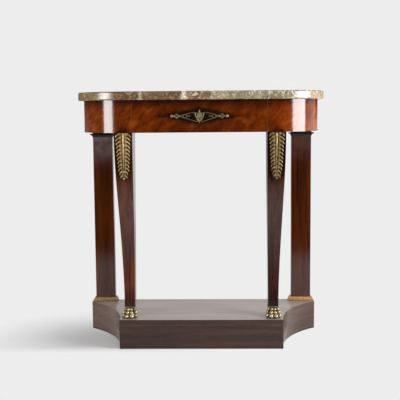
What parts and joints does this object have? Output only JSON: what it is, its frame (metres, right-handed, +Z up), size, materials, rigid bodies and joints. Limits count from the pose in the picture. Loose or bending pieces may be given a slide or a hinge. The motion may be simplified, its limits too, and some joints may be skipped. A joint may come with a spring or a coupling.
{
  "type": "pier table",
  "caption": "Pier table with a round-cornered marble top, a frieze drawer with a lock, bent front legs on gilt paws, flat back pilasters and an incurved plinth.",
  "frame": {"origin": "on the floor, under the middle of the marble top's box", "axes": "+Z up, the front with the drawer faces -Y, +X to the right as seen from the front"},
  "size_m": [0.85, 0.3396, 0.87],
  "materials": {
    "marble": "polished veined breccia marble",
    "frieze_veneer": "French-polished flame mahogany veneer",
    "mahogany": "French-polished mahogany, darkened",
    "plinth_veneer": "French-polished mahogany veneer, dark and dusty",
    "ebonised": "ebonised and polished",
    "gilt_bronze": "worn gilt bronze",
    "pine": "planed softwood, aged",
    "oak": "planed oak, aged",
    "lock_brass": "filed brass",
    "steel": "dull steel"
  },
  "bodies": {
    "table": {"marble_top": "marble", "frieze_corner_left": "frieze_veneer", "frieze_corner_right": "frieze_veneer", "frieze_side_left": "frieze_veneer", "frieze_side_right": "frieze_veneer", "front_leg_left": "mahogany", "front_leg_right": "mahogany", "pilaster_left": "mahogany", "pilaster_right": "mahogany", "plinth_top_board": "plinth_veneer", "plinth_front_board": "plinth_veneer", "plinth_side_left": "plinth_veneer", "plinth_side_right": "plinth_veneer", "pilaster_capital_left": "ebonised", "pilaster_capital_right": "ebonised", "leaf_mount_left": "gilt_bronze", "leaf_mount_right": "gilt_bronze", "leaf_mount_pins": "gilt_bronze", "paw_foot_left": "gilt_bronze", "paw_foot_right": "gilt_bronze", "pilaster_base_left": "gilt_bronze", "pilaster_base_right": "gilt_bronze", "pilaster_base_pins": "gilt_bronze", "frieze_post_left": "pine", "frieze_post_right": "pine", "frieze_back_rail": "pine", "frieze_glue_blocks": "pine", "lower_front_rail": "pine", "upper_front_rail": "pine", "drawer_runner_left": "pine", "drawer_runner_right": "pine", "drawer_guide_left": "pine", "drawer_guide_right": "pine", "drawer_kicker_left": "pine", "drawer_kicker_right": "pine", "plinth_back_board": "pine", "plinth_glue_blocks": "pine", "lock_strike": "lock_brass", "strike_screws": "steel"},
    "drawer": {"drawer_front": "frieze_veneer", "drawer_side_left": "oak", "drawer_side_right": "oak", "drawer_back": "oak", "drawer_bottom": "oak", "escutcheon": "gilt_bronze", "escutcheon_pins": "gilt_bronze", "lock_plate": "lock_brass", "lock_case": "lock_brass", "lock_key_pin": "steel", "lock_spring": "steel", "lock_screws": "steel"},
    "lock_bolt": {"lock_bolt": "lock_brass"}
  },
  "joints": [
    {"name": "drawer_slide", "type": "slide", "parent": "table", "child": "drawer", "axis": [0, -1, 0], "range_m": [0, 0.19]},
    {"name": "bolt_slide", "type": "slide", "parent": "drawer", "child": "lock_bolt", "axis": [0, 0, 1], "range_m": [0, 0.009]}
  ]
}
